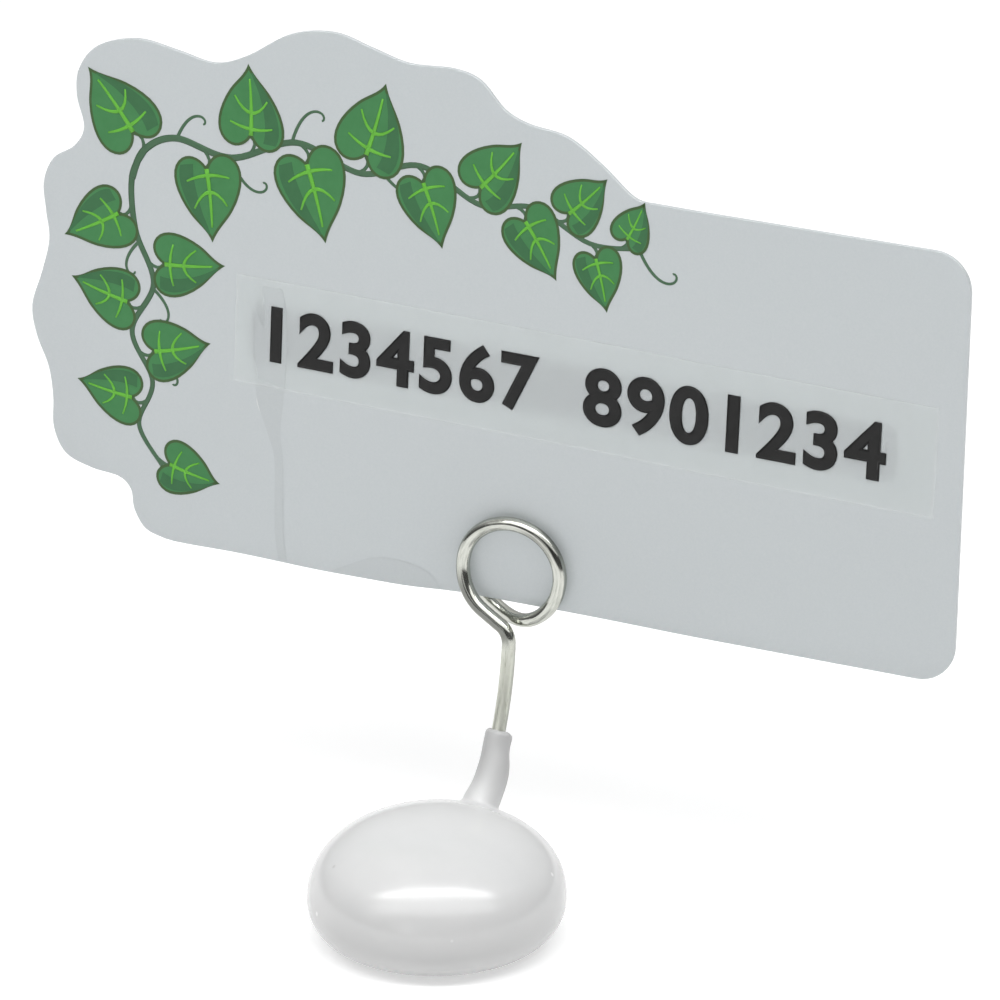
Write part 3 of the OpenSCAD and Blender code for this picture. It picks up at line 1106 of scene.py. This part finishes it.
def dipped_vinyl():
    """Glossy white dip with a soft unevenness, dark specks of dust and pale specks of painted glint, painted
    shade low down and up the neck, and duller up the neck.
    """
    material, tree, shader, where = new_finish("dipped_vinyl")
    cells = tree.nodes.new("ShaderNodeTexVoronoi")
    cells.inputs["Scale"].default_value = SPECK_SCALE
    tree.links.new(where, cells.inputs["Vector"])
    speck = spread(tree, cells.outputs["Distance"], *SPECK_SPAN, 1, 0)
    kind = tree.nodes.new("ShaderNodeSeparateColor")
    tree.links.new(cells.outputs["Color"], kind.inputs["Color"])
    # Dark specks are dust; the pale specks are painted glints
    speck_tone = tint(tree, kind.outputs["Red"], *SPECK_TONES)
    cloud = tint(tree, noise(tree, where, CLOUD_SCALE), *CLOUD_TONES)
    dust_and_glints = mix(tree, speck, cloud, speck_tone)
    # Painted shade: the dip turns darker towards its foot
    low_down = spread(tree, height_on(tree, where), *LOW_DARK_SPAN, 1, 0)
    low_shaded = mix(tree, low_down, dust_and_glints, LOW_PAINTED_SHADE, "MULTIPLY")
    up_neck = stored(tree, "up_neck")
    # Painted shade: the neck turns darker up its length
    neck = spread(tree, up_neck, *NECK_DARK_SPAN, 0, 1, "SMOOTHERSTEP")
    tree.links.new(mix(tree, neck, low_shaded, NECK_PAINTED_SHADE, "MULTIPLY"), shader.inputs["Base Color"])
    dull = tree.nodes.new("ShaderNodeMath")
    dull.operation = "ADD"
    tree.links.new(spread(tree, noise(tree, where, 260, 4), 0, 1, *VINYL_ROUGH), dull.inputs[0])
    tree.links.new(spread(tree, up_neck, *NECK_ROUGH_SPAN, 0, NECK_ROUGH, "SMOOTHERSTEP"), dull.inputs[1])
    tree.links.new(dull.outputs["Value"], shader.inputs["Roughness"])
    raise_bumps(tree, shader, noise(tree, where, 110, 2), 0.0002, 0.35)
    shader.inputs["IOR"].default_value = VINYL_IOR
    return material


# Wire: its tones, and the heights in metres where the stem's matt plating gives way to the coil's
STREAK_STRETCH = (1, 1, 0.10)
STREAK_SCALE = 3.2
COIL_TONES = ((0.25, (0.34, 0.35, 0.31)), (0.5, (0.53, 0.54, 0.495)), (0.75, (0.645, 0.65, 0.61)))
STEM_TONES = ((0.3, (0.35, 0.36, 0.285)), (0.42, (0.62, 0.635, 0.56)), (0.75, (0.71, 0.725, 0.655)))
PLATING_SPAN = (0.038, 0.044)
PLATING_ROUGH = (0.45, 0.14)
STREAK_WANDER = 0.5
FRONT_SPAN = (0.35, 0.75)
PAINTED_SIDE_SHADE = (0.40, 0.41, 0.37)
PAINTED_SHADE_TONE = (0.17, 0.175, 0.16)
PAINTED_SHADE_MOST = 0.9


def plated_wire():
    """Plated wire with fine drawing marks along it: matt and pale on the stem, bright on the coil."""
    material, tree, shader, where = new_finish("plated_wire")
    stretch = tree.nodes.new("ShaderNodeMapping")
    stretch.inputs["Scale"].default_value = STREAK_STRETCH
    tree.links.new(stored(tree, "grain", "Vector"), stretch.inputs["Vector"])
    streaks = noise(tree, stretch.outputs["Vector"], STREAK_SCALE, 5, 0.65)
    bright = tint(tree, streaks, *COIL_TONES)
    pale = tint(tree, streaks, *STEM_TONES)
    height = height_on(tree, where)
    plating = mix(tree, spread(tree, height, *PLATING_SPAN, 0, 1), pale, bright)
    wander = tree.nodes.new("ShaderNodeMath")
    wander.operation = "MULTIPLY_ADD"
    wander.inputs[1].default_value = STREAK_WANDER
    tree.links.new(streaks, wander.inputs[0])
    tree.links.new(stored(tree, "facing"), wander.inputs[2])
    # Painted shade: sides that are edge-on to the tag's front turn darker
    front = spread(tree, wander.outputs["Value"], *FRONT_SPAN, 0, 1)
    shaded = mix(tree, front, PAINTED_SIDE_SHADE, plating)
    # Painted dark reflection under the bend and painted shade on the coil's front turn
    painted_shade = spread(tree, stored(tree, "bent"), 0, 1, 0, PAINTED_SHADE_MOST)
    tree.links.new(mix(tree, painted_shade, shaded, PAINTED_SHADE_TONE), shader.inputs["Base Color"])
    rough = spread(tree, height, *PLATING_SPAN, *PLATING_ROUGH)
    tree.links.new(rough, shader.inputs["Roughness"])
    raise_bumps(tree, shader, streaks, 0.00003, 0.5)
    shader.inputs["Metallic"].default_value = 1
    return material


def gloss_sheet(name, low, high):
    """Glossy plastic sheet with a fine grain between two tones."""
    material, tree, shader, where = new_finish(name)
    grain = noise(tree, where, 2600, 2, 0.7)
    tree.links.new(tint(tree, grain, (0.0, low), (1.0, high)), shader.inputs["Base Color"])
    shader.inputs["Roughness"].default_value = 0.29
    shader.inputs["IOR"].default_value = 1.5
    return material


RIM_TONES = ((0.0, (0.80, 0.82, 0.81)), (0.06, (0.70, 0.74, 0.73)))
BAND_TONE = (0.36, 0.37, 0.36)
FILM_ALPHA = (0.16, 0.10)
FILM_ROUGH = (0.14, 0.24)


def clear_film():
    """Clear tape: paler cut edges, pale margins and a greyer middle under the print."""
    material, tree, shader, where = new_finish("clear_film")
    margin = tint(tree, stored(tree, "rim"), *RIM_TONES)
    printed = stored(tree, "printed")
    tree.links.new(mix(tree, printed, margin, BAND_TONE), shader.inputs["Base Color"])
    tree.links.new(spread(tree, printed, 0, 1, *FILM_ALPHA), shader.inputs["Alpha"])
    gloss = spread(tree, noise(tree, where, 120, 2), 0.2, 0.8, *FILM_ROUGH)
    tree.links.new(gloss, shader.inputs["Roughness"])
    return material


def ink(name, low, high):
    """Printed ink, mottled between two tones."""
    material, tree, shader, where = new_finish(name)
    mottle = noise(tree, where, 420, 4, 0.6)
    tree.links.new(tint(tree, mottle, (0.2, low), (0.8, high)), shader.inputs["Base Color"])
    tree.links.new(spread(tree, mottle, 0.2, 0.8, 0.28, 0.38), shader.inputs["Roughness"])
    shader.inputs["Specular IOR Level"].default_value = 0.18
    return material


def cast_slug():
    """Rough grey casting."""
    material, tree, shader, where = new_finish("cast_slug")
    pits = noise(tree, where, 700, 6, 0.7)
    tree.links.new(tint(tree, pits, (0.3, (0.10, 0.10, 0.105)), (0.7, (0.22, 0.22, 0.23))),
                   shader.inputs["Base Color"])
    tree.links.new(spread(tree, pits, 0.3, 0.7, 0.5, 0.75), shader.inputs["Roughness"])
    raise_bumps(tree, shader, pits, 0.0002, 0.6)
    shader.inputs["Metallic"].default_value = 0.8
    return material


# Studio

FLOOR_SIZE = 8
FLOOR_TONE = (0.72, 0.72, 0.72)
FLOOR_GLOW = 0.45


def pale_floor():
    """White floor that glows a little, so that shadows stay faint on it."""
    bpy.ops.mesh.primitive_plane_add(size=FLOOR_SIZE)
    floor = bpy.context.object
    floor.name = "floor"
    material, tree, shader, where = new_finish("pale_floor")
    shader.inputs["Base Color"].default_value = (*FLOOR_TONE, 1)
    shader.inputs["Roughness"].default_value = 0.9
    shader.inputs["Specular IOR Level"].default_value = 0.1
    shader.inputs["Emission Color"].default_value = (1, 1, 1, 1)
    shader.inputs["Emission Strength"].default_value = FLOOR_GLOW
    floor.data.materials.append(material)


def softbox(name, spot, target, size, power):
    """Rectangular soft light that faces a point, its first side level with the camera."""
    light = bpy.data.lights.new(name, "AREA")
    light.shape = "RECTANGLE"
    light.size, light.size_y = size
    light.energy = power
    lamp = bpy.data.objects.new(name, light)
    bpy.context.collection.objects.link(lamp)
    back = (spot - Vector(target)).normalized()
    across = VIEW_RIGHT - back * back.dot(VIEW_RIGHT)
    across.normalize()
    lamp.matrix_world = stand(spot, across, back.cross(across), back)
    return lamp


# Sky from the dim room in front to the ceiling, by its share of facing the ceiling and its brightness
CEILING_TILT = math.radians(20)
SKY = ((0.0, 0.10), (0.18, 0.14), (0.36, 0.36), (0.72, 0.80), (1.0, 1.0))

# Lights by their place to the right, toward the camera and up, the point they face, size and power
BASE_SPOT = (0, 0, 0)
STRIP = ((0, 0.26, 0.85), BASE_SPOT, (1.6, 0.21), 8.0)
SIDE = ((-0.9, 0.5, 0.7), (0, 0, 0.06), (0.7, 0.7), 0.9)
MIRRORED_PANELS = (("shine", (-0.02, 0.288, 0.85), BASE_SPOT, (1.7, 0.205), 5.7),
                   ("glow", (0, 0.72, 0.85), BASE_SPOT, (3.0, 0.5), 6.1),
                   ("window", (-0.42, 0.9, 0.2), BASE_SPOT, (0.3, 0.35), 0.3))
EXPOSURE = -0.155


def studio():
    """Bright ceiling above and behind, a dimmer room in front, two soft lights and three mirrored panels."""
    world = bpy.data.worlds.new("studio")
    bpy.context.scene.world = world
    world.use_nodes = True
    tree = world.node_tree
    where = tree.nodes.new("ShaderNodeTexCoord").outputs["Generated"]
    toward = Vector((math.sin(VIEW_TURN), -math.cos(VIEW_TURN), 0))
    up = Vector((0, 0, 1))
    facing = tree.nodes.new("ShaderNodeVectorMath")
    facing.operation = "DOT_PRODUCT"
    facing.inputs[1].default_value = up * math.cos(CEILING_TILT) - toward * math.sin(CEILING_TILT)
    tree.links.new(where, facing.inputs[0])
    sky = tint(tree, facing.outputs["Value"], *((place, (grey, grey, grey)) for place, grey in SKY))
    tree.links.new(sky, tree.nodes["Background"].inputs["Color"])

    def light(name, place, target, size, power):
        spot = VIEW_RIGHT * place[0] + toward * place[1] + up * place[2]
        return softbox(name, spot, target, size, power)

    strip = light("strip", *STRIP)
    strip.visible_glossy = False
    light("side", *SIDE)
    for panel in MIRRORED_PANELS:
        lamp = light(*panel)
        lamp.data.shape = "ELLIPSE"
        lamp.visible_diffuse = False
    bpy.context.scene.view_settings.view_transform = "Standard"
    bpy.context.scene.view_settings.exposure = EXPOSURE


def camera():
    """Long lens at the photo's angle, shifted so that the base lies where the photo has it."""
    back = Vector((math.sin(VIEW_TURN) * math.cos(VIEW_RISE), -math.cos(VIEW_TURN) * math.cos(VIEW_RISE),
                   math.sin(VIEW_RISE)))
    right = VIEW_RIGHT
    up = back.cross(right)
    per_pixel = VIEW_DISTANCE * SENSOR / LENS / FRAME_SIDE
    across = (FRAME_SIDE / 2 - ORIGIN_PIXEL[0]) * per_pixel
    above = (ORIGIN_PIXEL[1] - FRAME_SIDE / 2) * per_pixel
    lens = bpy.data.cameras.new("camera")
    lens.lens = LENS
    lens.sensor_width = SENSOR
    lens.clip_start = 0.01
    eye = bpy.data.objects.new("camera", lens)
    bpy.context.collection.objects.link(eye)
    spot = (back * VIEW_DISTANCE + right * across + up * above) * MM
    eye.matrix_world = stand(spot, right, up, back)
    bpy.context.scene.camera = eye


# Making

camera()
studio()
pale_floor()

settle(vinyl_skin(), dipped_vinyl(), "holder", "vinyl", "base_coat")
settle(wire_spring(), plated_wire(), "holder", "wire", "wire_clip")

sheet_finish = gloss_sheet("gloss_sheet", (0.492, 0.531, 0.546), (0.551, 0.580, 0.590))
# Darker tones of painted shade for the crease and the dent
crease_shade_finish = gloss_sheet("crease_and_dent_shade", (0.460, 0.497, 0.510), (0.516, 0.543, 0.552))
# Paler tones on the raised folds are a painted highlight
fold_highlight_finish = ink("fold_painted_highlight", (0.60, 0.63, 0.63), (0.66, 0.68, 0.68))
black_ink = ink("black_ink", (0.012, 0.012, 0.012), (0.022, 0.022, 0.022))
settle(tag_sheet(), sheet_finish, "tag", "card", "tag_card")
settle(tape_film(), clear_film(), "tag", "tape", "label_tape")
settle(painted_crease_and_dent(), crease_shade_finish, "tag", "card")
settle(sheet_wrinkles(), fold_highlight_finish, "tag", "card")
settle(label_numbers(), black_ink, "tag", "tape")

stem_ink = ink("stem_ink", (0.060, 0.130, 0.070), (0.075, 0.150, 0.085))
edge_ink = ink("edge_ink", (0.050, 0.100, 0.035), (0.065, 0.115, 0.045))
leaf_ink = ink("leaf_ink", (0.052, 0.200, 0.070), (0.064, 0.228, 0.084))
shade_ink = ink("shade_ink", (0.042, 0.140, 0.058), (0.050, 0.160, 0.068))
vein_ink = ink("vein_ink", (0.12, 0.42, 0.045), (0.14, 0.47, 0.055))
for layer, layer_ink in zip(printed_vine(edge_ink, leaf_ink), (stem_ink, edge_ink, shade_ink, vein_ink)):
    settle(layer, layer_ink, "tag", "card")

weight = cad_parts["base_weight"]
weight.data.materials.clear()
weight.data.materials.append(cast_slug())
